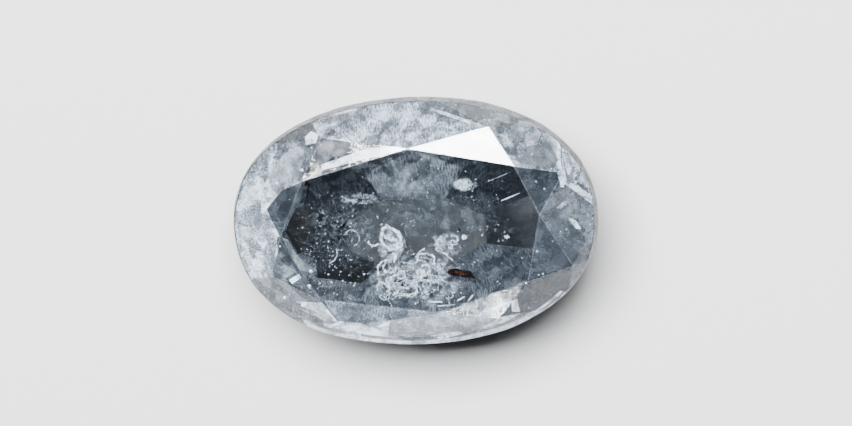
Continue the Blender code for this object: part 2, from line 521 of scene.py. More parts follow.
def end_tree(tree: bpy.types.NodeTree, geometry: bpy.types.NodeSocket) -> None:
    """Realize the instances, set the material and close the tree.

    Args:
        tree: Geometry tree with an input Material.
        geometry: What the tree has made.
    """
    given = tree.nodes["Input"].outputs
    real = add_node(tree, "GeometryNodeRealizeInstances", None, {0: geometry})
    dressed = add_node(tree, "GeometryNodeSetMaterial", None,
                       {"Geometry": real.outputs[0], "Material": given["Material"]})
    add_node(tree, "NodeGroupOutput", None, {0: dressed.outputs[0]})


def grown(name: str, seed_mesh: bpy.types.Mesh, tree: bpy.types.NodeTree,
          sizes: dict[str, Any]) -> bpy.types.Object:
    """Run a geometry tree on a mesh and keep the result as a plain mesh.

    Args:
        name: Name of the piece.
        seed_mesh: Mesh that the tree starts from.
        tree: Geometry tree.
        sizes: Value of each named input.

    Returns:
        The piece, a plain mesh with its material.
    """
    helper = link_object(name + "_seed", seed_mesh)
    modifier = helper.modifiers.new("grow", "NODES")
    modifier.node_group = tree
    for item in tree.interface.items_tree:
        if item.in_out == "INPUT" and item.name in sizes:
            modifier[item.identifier] = sizes[item.name]
    evaluated = helper.evaluated_get(bpy.context.evaluated_depsgraph_get())
    mesh = bpy.data.meshes.new_from_object(evaluated)
    mesh.name = name
    bpy.data.objects.remove(helper, do_unlink=True)
    bpy.data.meshes.remove(seed_mesh)
    return link_object(name, mesh)


def noise_offset(tree: bpy.types.NodeTree, size: bpy.types.NodeSocket, reach: bpy.types.NodeSocket,
                 seed: bpy.types.NodeSocket) -> bpy.types.NodeSocket:
    """Add nodes that give each point a smooth random push.

    Args:
        tree: Geometry tree.
        size: Distance between unlike pushes in metres.
        reach: How far the push goes, in metres.
        seed: Whole number that picks the pattern.

    Returns:
        The push as a vector.
    """
    position = add_node(tree, "GeometryNodeInputPosition")
    scale = add_node(tree, "ShaderNodeMath", {0: 1.0}, {1: size}, operation="DIVIDE")
    noise = add_node(tree, "ShaderNodeTexNoise", {"Detail": 2.0},
                     {"Vector": position.outputs[0], "W": seed, "Scale": scale.outputs[0]},
                     noise_dimensions="4D")
    # The noise lies round 0.5 and the push has to lie round 0
    centred = add_node(tree, "ShaderNodeVectorMath", {1: (0.5, 0.5, 0.5)}, {0: noise.outputs["Color"]},
                       operation="SUBTRACT")
    double = add_node(tree, "ShaderNodeMath", {1: 2.0}, {0: reach}, operation="MULTIPLY")
    push = add_node(tree, "ShaderNodeVectorMath", None, {0: centred.outputs[0], "Scale": double.outputs[0]},
                    operation="SCALE")
    return push.outputs[0]


# Size of the smallest crumb as a share of the largest, and the flattest and the fullest shape of a crumb
SMALLEST_CRUMB = 0.3
CRUMB_SHAPES = ((0.5, 0.5, 0.3), (1.2, 1.2, 0.8))
# Distance between the thick places of a thread
LUMP_SPACING = 0.12 * MM


def crumb_instances(tree: bpy.types.NodeTree, points: bpy.types.NodeSocket) -> bpy.types.NodeSocket:
    """Add nodes that put one small turned crumb on each point.

    Args:
        tree: Geometry tree with inputs Crumb and Seed.
        points: Points that get a crumb.

    Returns:
        The crumbs as instances.
    """
    given = tree.nodes["Input"].outputs
    ball = add_node(tree, "GeometryNodeMeshIcoSphere", {"Radius": 1.0, "Subdivisions": 1})
    turn = add_node(tree, "FunctionNodeRandomValue", {0: (0.0, 0.0, 0.0), 1: (math.tau, math.tau, math.tau)},
                    {"Seed": given["Seed"]}, data_type="FLOAT_VECTOR")
    spread = add_node(tree, "FunctionNodeRandomValue", {2: 0.0, 3: 1.0}, {"Seed": given["Seed"]},
                      data_type="FLOAT")
    # Most crumbs are small and a few are large
    cubed = add_node(tree, "ShaderNodeMath", {1: 3.0}, {0: spread.outputs[1]}, operation="POWER")
    share = add_node(tree, "ShaderNodeMapRange", {"To Min": SMALLEST_CRUMB, "To Max": 1.0},
                     {"Value": cubed.outputs[0]})
    size = add_node(tree, "ShaderNodeMath", None, {0: share.outputs[0], 1: given["Crumb"]},
                    operation="MULTIPLY")
    shape = add_node(tree, "FunctionNodeRandomValue", dict(enumerate(CRUMB_SHAPES)), {"Seed": given["Seed"]},
                     data_type="FLOAT_VECTOR")
    scale = add_node(tree, "ShaderNodeVectorMath", None, {0: shape.outputs[0], "Scale": size.outputs[0]},
                     operation="SCALE")
    crumbs = add_node(tree, "GeometryNodeInstanceOnPoints", None,
                      {"Points": points, "Instance": ball.outputs["Mesh"], "Rotation": turn.outputs[0],
                       "Scale": scale.outputs[0]})
    return crumbs.outputs[0]


def thread_tree() -> bpy.types.NodeTree:
    """Build the tree that turns paths into crumpled threads set with crumbs.

    Returns:
        A tree with inputs Thread, Spacing, Crumple, Crumple size, Crumb, Seed and Material.
    """
    tree = tree_with("crumpled_threads", {
        "Thread": "NodeSocketFloat", "Spacing": "NodeSocketFloat", "Crumple": "NodeSocketFloat",
        "Crumple size": "NodeSocketFloat", "Crumb": "NodeSocketFloat", "Seed": "NodeSocketInt",
        "Material": "NodeSocketMaterial"})
    given = tree.nodes["Input"].outputs
    paths = add_node(tree, "GeometryNodeMeshToCurve", None, {0: given["Geometry"]})
    smooth = add_node(tree, "GeometryNodeCurveSplineType", None, {"Curve": paths.outputs[0]},
                      spline_type="CATMULL_ROM")
    even = add_node(tree, "GeometryNodeResampleCurve", None,
                    {"Curve": smooth.outputs[0], "Length": given["Spacing"]}, mode="LENGTH")
    push = noise_offset(tree, given["Crumple size"], given["Crumple"], given["Seed"])
    crumpled = add_node(tree, "GeometryNodeSetPosition", None, {"Geometry": even.outputs[0], "Offset": push})
    # The thread swells and thins out along its way
    lumps = add_node(tree, "ShaderNodeTexNoise", {"Detail": 1.0, "Scale": 1 / LUMP_SPACING})
    swell = add_node(tree, "ShaderNodeMapRange",
                     {"From Min": 0.42, "From Max": 0.60, "To Min": 0.1, "To Max": 1.7},
                     {"Value": lumps.outputs[0]})
    crumpled = add_node(tree, "GeometryNodeSetCurveRadius", None,
                        {"Curve": crumpled.outputs[0], "Radius": swell.outputs[0]})
    ring = add_node(tree, "GeometryNodeCurvePrimitiveCircle", {"Resolution": 5, "Radius": 1.0}, mode="RADIUS")
    profile = add_node(tree, "GeometryNodeTransform", None, {"Geometry": ring.outputs[0]})
    wide = add_node(tree, "ShaderNodeCombineXYZ", None,
                    {"X": given["Thread"], "Y": given["Thread"], "Z": given["Thread"]})
    tree.links.new(wide.outputs[0], profile.inputs["Scale"])
    tube = add_node(tree, "GeometryNodeCurveToMesh", {"Fill Caps": True},
                    {"Curve": crumpled.outputs[0], "Profile Curve": profile.outputs[0]})
    dots = add_node(tree, "GeometryNodeCurveToPoints", None, {"Curve": crumpled.outputs[0]}, mode="EVALUATED")
    crumbs = crumb_instances(tree, dots.outputs["Points"])
    both = add_node(tree, "GeometryNodeJoinGeometry")
    tree.links.new(tube.outputs[0], both.inputs[0])
    tree.links.new(crumbs, both.inputs[0])
    end_tree(tree, both.outputs[0])
    return tree


def dust_tree() -> bpy.types.NodeTree:
    """Build the tree that strews crumbs through the space beside a sheet.

    Returns:
        A tree with inputs Density, Spread, Crumb, Seed and Material.
    """
    tree = tree_with("strewn_crumbs", {
        "Density": "NodeSocketFloat", "Spread": "NodeSocketVector", "Crumb": "NodeSocketFloat",
        "Seed": "NodeSocketInt", "Material": "NodeSocketMaterial"})
    given = tree.nodes["Input"].outputs
    points = add_node(tree, "GeometryNodeDistributePointsOnFaces", None,
                      {"Mesh": given["Geometry"], "Density": given["Density"], "Seed": given["Seed"]},
                      distribute_method="RANDOM")
    drift = add_node(tree, "FunctionNodeRandomValue", {0: (-1.0, -1.0, -1.0), 1: (1.0, 1.0, 1.0)},
                     {"Seed": given["Seed"]}, data_type="FLOAT_VECTOR")
    reach = add_node(tree, "ShaderNodeVectorMath", None, {0: drift.outputs[0], 1: given["Spread"]},
                     operation="MULTIPLY")
    strewn = add_node(tree, "GeometryNodeSetPosition", None,
                      {"Geometry": points.outputs[0], "Offset": reach.outputs[0]})
    end_tree(tree, crumb_instances(tree, strewn.outputs[0]))
    return tree


def place_on_flat(tree: bpy.types.NodeTree) -> bpy.types.NodeSocket:
    """Add nodes that give each corner its place across its flat, down the flat's slope and through it.

    Args:
        tree: Geometry tree.

    Returns:
        The place as a vector.
    """
    position = add_node(tree, "GeometryNodeInputPosition").outputs[0]
    normal = add_node(tree, "GeometryNodeInputNormal").outputs[0]
    across = add_node(tree, "ShaderNodeVectorMath", {0: (0.0, 0.0, 1.0)}, {1: normal},
                      operation="CROSS_PRODUCT")
    level = add_node(tree, "ShaderNodeVectorMath", None, {0: across.outputs[0]}, operation="NORMALIZE")
    down = add_node(tree, "ShaderNodeVectorMath", None, {0: normal, 1: level.outputs[0]},
                    operation="CROSS_PRODUCT")
    parts = [add_node(tree, "ShaderNodeVectorMath", None, {0: position, 1: way}, operation="DOT_PRODUCT")
             for way in (level.outputs[0], down.outputs[0], normal)]
    place = add_node(tree, "ShaderNodeCombineXYZ", None,
                     dict(enumerate(part.outputs["Value"] for part in parts)))
    return place.outputs[0]


def veil_tree() -> bpy.types.NodeTree:
    """Build the tree that lays an uneven sheet just under some of the stone's flats.

    Returns:
        A tree with inputs Cuts, Depth, Waver, Waver size, Seed and Material.
    """
    tree = tree_with("veil_under_flats", {
        "Cuts": "NodeSocketInt", "Depth": "NodeSocketFloat", "Waver": "NodeSocketFloat",
        "Waver size": "NodeSocketFloat", "Seed": "NodeSocketInt", "Material": "NodeSocketMaterial"})
    given = tree.nodes["Input"].outputs
    fine = add_node(tree, "GeometryNodeSubdivideMesh", None,
                    {"Mesh": given["Geometry"], "Level": given["Cuts"]})
    marked = add_node(tree, "GeometryNodeStoreNamedAttribute", {"Name": HAZE_PLACE},
                      {"Geometry": fine.outputs[0], "Value": place_on_flat(tree)},
                      data_type="FLOAT_VECTOR", domain="CORNER")
    normal = add_node(tree, "GeometryNodeInputNormal")
    under = add_node(tree, "ShaderNodeMath", {1: -1.0}, {0: given["Depth"]}, operation="MULTIPLY")
    inward = add_node(tree, "ShaderNodeVectorMath", None, {0: normal.outputs[0], "Scale": under.outputs[0]},
                      operation="SCALE")
    push = noise_offset(tree, given["Waver size"], given["Waver"], given["Seed"])
    total = add_node(tree, "ShaderNodeVectorMath", None, {0: inward.outputs[0], 1: push}, operation="ADD")
    sheet = add_node(tree, "GeometryNodeSetPosition", None,
                     {"Geometry": marked.outputs[0], "Offset": total.outputs[0]})
    end_tree(tree, sheet.outputs[0])
    return tree


@dataclass
class Stone:
    """The cut stone: the frame's own solid with worn edges and a finish for each kind of flat.

    Attributes:
        edge_wear: Width of the worn strip along an edge.
        level_slope: Most that the table and the culet lean from level.
        star_slope: Most that a star leans; the rest of the crown leans more.
        wall_tilt: Most that the girdle's wall faces up or down, as the height of its unit normal.
        merge: Distance within which the loose triangles' corners are joined.
        shortest_edge: Edges under this length are closed before the edges are worn.
        flat_within: Angle within which triangles belong to one flat.
        finishes: Finish of each material slot, in the order of Part.
    """

    edge_wear: float = 0.006 * MM
    level_slope: float = math.radians(2.0)
    star_slope: float = math.radians(29.0)
    wall_tilt: float = 0.30
    merge: float = 0.001 * MM
    shortest_edge: float = 0.04 * MM
    flat_within: float = math.radians(0.4)
    finishes: tuple[TopazSurface, ...] = (
        POLISHED, DOMED, WORN, LAPPED, GROUND_WALL_PAINTED_DARK, GROUND_FOOT, CHIPPED_EDGE)

    def merged(self) -> bmesh.types.BMesh:
        """Copy the frame's loose triangles and join them into whole flats.

        Returns:
            A closed mesh with one face for each flat.
        """
        mesh = bmesh.new()
        mesh.from_mesh(bpy.data.objects[NODE].data)
        bmesh.ops.remove_doubles(mesh, verts=mesh.verts[:], dist=self.merge)
        bmesh.ops.dissolve_limit(mesh, angle_limit=self.flat_within, verts=mesh.verts[:], edges=mesh.edges[:])
        bmesh.ops.recalc_face_normals(mesh, faces=mesh.faces[:])
        return mesh

    def part_of(self, normal: Vector) -> Part:
        """Tell how a face was worked from the way it faces.

        Args:
            normal: Unit normal of the face.

        Returns:
            The face's material slot.
        """
        if abs(normal.z) < self.wall_tilt:
            return Part.GIRDLE
        if normal.z < 0:
            return Part.CULET if normal.z < -math.cos(self.level_slope) else Part.PAVILION
        if normal.z > math.cos(self.level_slope):
            return Part.TABLE
        return Part.STAR if normal.z > math.cos(self.star_slope) else Part.CROWN

    def sharp_edges(self, mesh: bmesh.types.BMesh) -> list[bmesh.types.BMEdge]:
        """List the edges between flats, which leaves out those within the round wall of the girdle.

        Args:
            mesh: The stone with one face for each flat.

        Returns:
            The edges.
        """
        return [edge for edge in mesh.edges
                if not all(abs(face.normal.z) < self.wall_tilt for face in edge.link_faces)]

    def build(self) -> bpy.types.Object:
        """Build the stone's visible mesh.

        Returns:
            The stone, which stands for the frame's node.
        """
        mesh = self.merged()
        bmesh.ops.remove_doubles(mesh, verts=mesh.verts[:], dist=self.shortest_edge)
        for face in mesh.faces:
            face.material_index = self.part_of(face.normal)
            face.smooth = abs(face.normal.z) < self.wall_tilt
        sharp = self.sharp_edges(mesh)
        for edge in sharp:
            edge.smooth = False
        bmesh.ops.bevel(mesh, geom=sharp, offset=self.edge_wear, offset_type="WIDTH", segments=2, profile=0.5,
                        affect="EDGES", clamp_overlap=False, material=Part.EDGE)
        for face in mesh.faces:
            if face.material_index == Part.EDGE and face.normal.z < 0:
                face.material_index = Part.PAVILION
        data = as_mesh("topaz_stone", mesh)
        for finish in self.finishes:
            data.materials.append(finish.build())
        stone = link_object("topaz_stone", data)
        finish_piece(stone)
        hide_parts(NODE)
        return stone


def facing(bearing: float, elevation: float) -> Vector:
    """Give a unit vector from two angles.

    Args:
        bearing: Angle from +X in degrees, counter-clockwise.
        elevation: Angle up from level in degrees.

    Returns:
        The vector.
    """
    around, up = math.radians(bearing), math.radians(elevation)
    return Vector((math.cos(around) * math.cos(up), math.sin(around) * math.cos(up), math.sin(up)))


@dataclass(frozen=True)
class FlatHazeAndPaintedLight:
    """Haze under one flat of the stone, with painted light and shade in its tone.

    Attributes:
        bearing: Where the flat faces, counter-clockwise from +X in degrees.
        slope: How far it leans from level, in degrees.
        tone: Brightness of its haze, from 0 to 1, set flat by flat as painted light and shade.
        cover: Share of the haze that hides what is behind it.
    """

    bearing: float
    slope: float
    tone: float
    cover: float

    def direction(self, up: float) -> Vector:
        """Give the unit normal of the flat, up being 1 for the crown and -1 for the pavilion."""
        return facing(self.bearing, up * (90 - self.slope))


@dataclass
class Veil:
    """Haze of tiny bubbles that follows the flats of the crown or the pavilion, just under the surface, with
    painted light and shade flat by flat.

    Attributes:
        name: Name of the piece.
        finish: Its grain and colours.
        up: 1 under the crown, -1 over the pavilion.
        flats: Haze of each flat; a flat takes the entry that faces nearest to its own way.
        steepest: Slope from which on a face belongs to the girdle and has no haze.
        depth: Distance under the surface.
        waver: How far it wanders from that.
        waver_size: Distance between unlike swells of its sheet.
        cuts: How often each of its faces is cut in four.
        seed: Which draw of the swells it has.
    """

    name: str
    finish: MilkyVeil
    up: float
    flats: tuple[FlatHazeAndPaintedLight, ...]
    steepest: float = math.radians(65)
    depth: float = 0.10 * MM
    waver: float = 0.02 * MM
    waver_size: float = 0.6 * MM
    cuts: int = 3
    seed: int = 1

    def haze_of(self, normal: Vector) -> FlatHazeAndPaintedLight | None:
        """Find the haze of a flat.

        Args:
            normal: Unit normal of the flat.

        Returns:
            Its haze, or None where there is none.
        """
        if normal.z * self.up < math.cos(self.steepest):
            return None
        nearest = max(self.flats, key=lambda flat: flat.direction(self.up).dot(normal))
        return nearest if nearest.cover > 0 else None

    def build(self, stone: Stone, tree: bpy.types.NodeTree) -> bpy.types.Object:
        """Build the veil.

        Args:
            stone: The stone whose flats it follows.
            tree: The tree that lays it.

        Returns:
            The veil's sheet.
        """
        mesh = stone.merged()
        tone = mesh.faces.layers.float.new(HAZE_AND_PAINTED_LIGHT_TONE)
        cover = mesh.faces.layers.float.new(HAZE_COVER)
        clear = []
        for face in mesh.faces:
            haze = self.haze_of(face.normal)
            if haze is None:
                clear.append(face)
                continue
            face[tone] = haze.tone
            face[cover] = haze.cover
        bmesh.ops.delete(mesh, geom=clear, context="FACES")
        data = as_mesh(self.name, mesh)
        return finish_piece(grown(self.name, data, tree, {
            "Cuts": self.cuts, "Depth": self.depth, "Waver": self.waver, "Waver size": self.waver_size,
            "Seed": self.seed, "Material": self.finish.build()}))


# Bearing, slope, tone and cover of each flat's haze; the tone is painted light and shade, set flat by flat
# for how light falls on that facet
CROWN_HAZE_AND_PAINTED_LIGHT = tuple(FlatHazeAndPaintedLight(*row) for row in (
    # Table, which has none, and the stars around it
    (0, 0, 0.00, 0.00), (24, 27, 0.03, 0.90), (78, 22, 0.06, 0.75), (104, 21, 0.07, 0.90),
    (156, 21, 0.04, 0.65), (210, 18, 0.10, 0.65), (261, 20, 0.18, 0.65), (287, 22, 0.20, 0.55),
    (346, 24, 0.04, 0.90),
    # Kites, and at the left end the girdle flats between them
    (3, 36, 0.11, 0.75), (50, 43, 0.42, 0.60), (91, 42, 0.45, 0.65), (132, 39, 0.34, 0.60),
    (144, 43, 0.62, 0.70), (169, 41, 0.75, 0.75), (181, 36, 0.65, 0.70), (194, 41, 0.55, 0.65),
    (231, 41, 0.11, 0.80), (271, 44, 0.32, 0.65), (307, 45, 0.02, 0.95),
    # Along the girdle
    (15, 45, 0.95, 0.85), (38, 50, 0.95, 0.85), (60, 54, 0.20, 0.70), (81, 55, 0.16, 0.70),
    (101, 53, 0.50, 0.65), (122, 48, 0.05, 0.70), (218, 45, 0.15, 0.80), (241, 50, 0.50, 0.65),
    (261, 54, 0.78, 0.85), (280, 53, 0.82, 0.90), (298, 52, 0.75, 0.85), (321, 55, 0.14, 0.85),
    (349, 48, 0.16, 0.80)))
# The pavilion's haze is mostly dark and dense: painted shade for the dark inside of the stone
PAVILION_HAZE_AND_PAINTED_SHADE = tuple(FlatHazeAndPaintedLight(*row) for row in (
    # Culet, which has none
    (0, 0, 0.00, 0.00),
    # Lower row
    (0, 25, 0.04, 0.20), (61, 29, 0.02, 0.85), (90, 34, 0.18, 0.75), (119, 31, 0.03, 0.75),
    (180, 28, 0.00, 0.00), (241, 43, 0.00, 0.00), (270, 51, 0.11, 0.60), (299, 40, 0.05, 0.90),
    # Upper row
    (14, 47, 0.04, 0.70), (44, 45, 0.02, 0.85), (66, 43, 0.02, 0.85), (83, 43, 0.08, 0.75),
    (97, 43, 0.08, 0.75), (114, 43, 0.03, 0.75), (136, 45, 0.00, 0.00), (166, 47, 0.00, 0.00),
    (194, 49, 0.00, 0.00), (224, 51, 0.13, 0.65), (246, 52, 0.10, 0.70), (263, 53, 0.08, 0.60),
    (277, 53, 0.07, 0.80), (294, 52, 0.05, 0.90), (317, 51, 0.05, 0.90), (346, 49, 0.05, 0.85)))


def placed(mesh: bmesh.types.BMesh, centre: Vector, half: tuple[float, float, float], turn: float) -> None:
    """Stretch a round shape, turn it and move it into place.

    Args:
        mesh: The shape, round its own middle.
        centre: Where its middle goes.
        half: How far it is stretched along X, Y and Z.
        turn: Angle of its length from +X in degrees.
    """
    shape = (Matrix.Translation(centre) @ Matrix.Rotation(math.radians(turn), 4, "Z")
             @ Matrix.Diagonal((*half, 1.0)))
    bmesh.ops.transform(mesh, matrix=shape, verts=mesh.verts[:])


@dataclass
class HazePatch:
    """Loose wisp of haze inside the stone that fades out towards its edge.

    Attributes:
        name: Name of the piece.
        centre: Its middle.
        half: Half its length and half its width in millimetres.
        tone: Brightness, from 0 to 1.
        cover: Share that hides what is behind it, in its middle.
        finish: Its grain and colours.
        turn: Angle of its length from +X in degrees.
        sides: Number of sides of its outline.
        cuts: How often each of its faces is cut in four.
        waver: How far its sheet swells up and down.
        waver_size: Distance between unlike swells.
        seed: Which draw of the swells it has.
    """

    name: str
    centre: Vector
    half: tuple[float, float]
    tone: float
    cover: float
    finish: MilkyVeil
    turn: float = 0.0
    sides: int = 24
    cuts: int = 3
    waver: float = 0.06 * MM
    waver_size: float = 0.5 * MM
    seed: int = 1

    def build(self, tree: bpy.types.NodeTree) -> bpy.types.Object:
        """Build the wisp.

        Args:
            tree: The tree that lays veils.

        Returns:
            The wisp's sheet.
        """
        mesh = bmesh.new()
        bmesh.ops.create_circle(mesh, cap_ends=True, cap_tris=True, segments=self.sides, radius=MM)
        tone = mesh.verts.layers.float.new(HAZE_AND_PAINTED_LIGHT_TONE)
        cover = mesh.verts.layers.float.new(HAZE_COVER)
        for vertex in mesh.verts:
            vertex[tone] = self.tone
            vertex[cover] = self.cover * (1.0 - vertex.co.length / MM)
        placed(mesh, self.centre, (*self.half, 1.0), self.turn)
        data = as_mesh(self.name, mesh)
        return finish_piece(grown(self.name, data, tree, {
            "Cuts": self.cuts, "Depth": 0.0, "Waver": self.waver, "Waver size": self.waver_size,
            "Seed": self.seed, "Material": self.finish.build()}))


@dataclass(frozen=True)
class PhotoView:
    """Where the photograph was taken from, and where its pixels lie over the stone.

    It looks almost straight down on the table, leaning a little to the stone's back right.

    Attributes:
        lean: Way from the stone to the camera.
        roll: How far the camera is turned round that way.
        frame: Width and height of the photograph in pixels.
        middle: Pixel that shows the stone's middle.
        pixels_per_mm: Scale of the photograph.
        level_share: Height of the stone's middle, as a share of the stone's height.
    """

    lean: tuple[float, float, float] = (0.13, 0.20, 1.0)
    roll: float = math.radians(4.11)
    frame: tuple[float, float] = (852, 426)
    middle: tuple[float, float] = (414.85, 221.6)
    pixels_per_mm: float = 30.63
    level_share: float = 0.70

    def axes(self) -> tuple[Vector, Vector, Vector]:
        """Give the picture's way right, its way up and the way to the camera.

        Returns:
            Three unit vectors at right angles.
        """
        toward = Vector(self.lean).normalized()
        across = Vector((math.sin(self.roll), math.cos(self.roll), 0.0)).cross(toward).normalized()
        return across, toward.cross(across), toward

    def stone_middle(self) -> Vector:
        """Give the stone's middle."""
        return Vector((0.0, 0.0, CAD_BOX[1][2] * self.level_share))

    def spot(self, column: float, row: float) -> Vector:
        """Find the point that shows at a pixel, on the plane through the stone's middle square to the view.

        Args:
            column: Pixels from the photograph's left side.
            row: Pixels from its top.

        Returns:
            The point.
        """
        across, up, _ = self.axes()
        shift = across * (column - self.middle[0]) + up * (self.middle[1] - row)
        return self.stone_middle() + shift * (MM / self.pixels_per_mm)


@dataclass(frozen=True)
class PaintedLightPatch:
    """One flat patch of painted light: a painted reflection where bright, painted shade where dark.

    Attributes:
        tone: How bright it is, from 0 to 1.
        cover: Share of it that hides what is behind, from 0 to 1.
        corners: Column and row of each corner in the photograph.
    """

    tone: float
    cover: float
    corners: tuple[tuple[float, float], ...]


def painted_glint(column: float, row: float, reach: float = 1.7, corners: int = 6) -> PaintedLightPatch:
    """Make a small painted glint round a pixel.

    Args:
        column: Column of its middle.
        row: Row of its middle.
        reach: Distance from its middle to its corners in pixels.
        corners: Number of its corners.

    Returns:
        The glint.
    """
    turns = [math.tau * corner / corners for corner in range(corners)]
    return PaintedLightPatch(1.0, 1.0, tuple((column + reach * math.cos(turn), row + reach * math.sin(turn))
                                 for turn in turns))


@dataclass(frozen=True)
class FrontGlare:
    """Painted highlight along the front of the girdle, with a line of painted shade inside it.

    Attributes:
        start: Bearing of its left end on the oval in degrees.
        step: Turn from one stretch to the next in degrees.
        stretches: Number of stretches.
        power: Exponent of the oval's sine and cosine.
        bright: Outer and inner side of the bright line, as shares of the oval.
        dark: Outer and inner side of the dark line.
        glow: How bright the bright line is, and how far that swings.
        glow_pace: Turn of the swing from one stretch to the next in radians.
        bright_cover: Share of the bright line that hides what is behind.
        dark_tone: How bright the dark line is.
        dark_cover: Share of the dark line that hides what is behind.
    """

    start: float = 232.0
    step: float = 3.5
    stretches: int = 26
    power: float = 0.92
    bright: tuple[float, float] = (0.992, 0.955)
    dark: tuple[float, float] = (0.948, 0.918)
    glow: tuple[float, float] = (0.75, 0.25)
    glow_pace: float = 2.3
    bright_cover: float = 0.95
    dark_tone: float = 0.03
    dark_cover: float = 0.90

    def place(self, degrees: float, share: float) -> Vector:
        """Find a point over the stone's oval.

        Args:
            degrees: Bearing of the point.
            share: Its distance from the middle, as a share of the oval's.

        Returns:
            The point, level with the table.
        """
        half_length, half_width, top = CAD_BOX[1]
        rounded = [math.copysign(abs(part) ** self.power, part)
                   for part in (math.cos(math.radians(degrees)), math.sin(math.radians(degrees)))]
        return Vector((rounded[0] * half_length * share, rounded[1] * half_width * share, top))

    def patches(self) -> list[tuple[float, float, list[Vector]]]:
        """Lay out the two lines.

        Returns:
            Tone, cover and the points over the four corners of each stretch.
        """
        found = []
        for stretch in range(self.stretches):
            first = self.start + self.step * stretch
            tone = self.glow[0] + self.glow[1] * math.sin(stretch * self.glow_pace)
            last = first + self.step
            for brightness, cover, (outer, inner) in ((tone, self.bright_cover, self.bright),
                                                      (self.dark_tone, self.dark_cover, self.dark)):
                ends = ((first, outer), (last, outer), (last, inner), (first, inner))
                found.append((brightness, cover, [self.place(*end) for end in ends]))
        return found


@dataclass
class PaintedLightPlates:
    """Painted reflections and painted shade laid as flat plates just under the crown, and the painted glare
    along its front edge.

    Attributes:
        name: Name of the piece.
        painted_patches: The painted reflections and shade.
        finish: Their grain and colours.
        view: View of the photograph that their corners were read from.
        glare: The lines along the front of the girdle.
        depth: Distance under the crown.
        start: Distance from which the crown is looked for, farther than any of it.
        cuts: How often each face is cut in four.
        waver: How far the plates swell up and down.
        waver_size: Distance between unlike swells.
        seed: Which draw of the swells they have.
    """

    name: str
    painted_patches: tuple[PaintedLightPatch, ...]
    finish: MilkyVeil
    view: PhotoView = PhotoView()
    glare: FrontGlare = FrontGlare()
    depth: float = 0.05 * MM
    start: float = 20 * MM
    cuts: int = 2
    waver: float = 0.004 * MM
    waver_size: float = 0.3 * MM
    seed: int = 1

    def under(self, crown: BVHTree, over: Vector, toward: Vector) -> Vector:
        """Find the point just under the crown that a straight line meets.

        Args:
            crown: The stone's flats.
            over: A point on the line.
            toward: Unit vector along the line, out of the stone.

        Returns:
            The point.
        """
        place, normal, _, _ = crown.ray_cast(over + toward * self.start, -toward)
        return place - normal * self.depth

    def patches(self, crown: BVHTree) -> list[tuple[float, float, list[Vector]]]:
        """List the patches that all of it is made of.

        Args:
            crown: The stone's flats.

        Returns:
            Tone, cover and corners of each patch.
        """
        toward = self.view.axes()[2]
        upright = Vector((0.0, 0.0, 1.0))
        found = [(flake.tone, flake.cover, [self.under(crown, self.view.spot(*corner), toward)
                                            for corner in flake.corners]) for flake in self.painted_patches]
        found += [(tone, cover, [self.under(crown, corner, upright) for corner in corners])
                  for tone, cover, corners in self.glare.patches()]
        return found

    def build(self, stone: Stone, tree: bpy.types.NodeTree) -> bpy.types.Object:
        """Build the plates.

        Args:
            stone: The stone whose crown they lie under.
            tree: The tree that lays veils.

        Returns:
            The plates as one mesh.
        """
        whole = stone.merged()
        crown = BVHTree.FromBMesh(whole)
        whole.free()
        mesh = bmesh.new()
        tone_layer = mesh.faces.layers.float.new(HAZE_AND_PAINTED_LIGHT_TONE)
        cover_layer = mesh.faces.layers.float.new(HAZE_COVER)
        for tone, cover, corners in self.patches(crown):
            face = mesh.faces.new([mesh.verts.new(corner) for corner in corners])
            face.normal_update()
            if face.normal.z < 0:
                face.normal_flip()
            face[tone_layer] = tone
            face[cover_layer] = cover
        data = as_mesh(self.name, mesh)
        return finish_piece(grown(self.name, data, tree, {
            "Cuts": self.cuts, "Depth": 0.0, "Waver": self.waver, "Waver size": self.waver_size,
            "Seed": self.seed, "Material": self.finish.build()}))


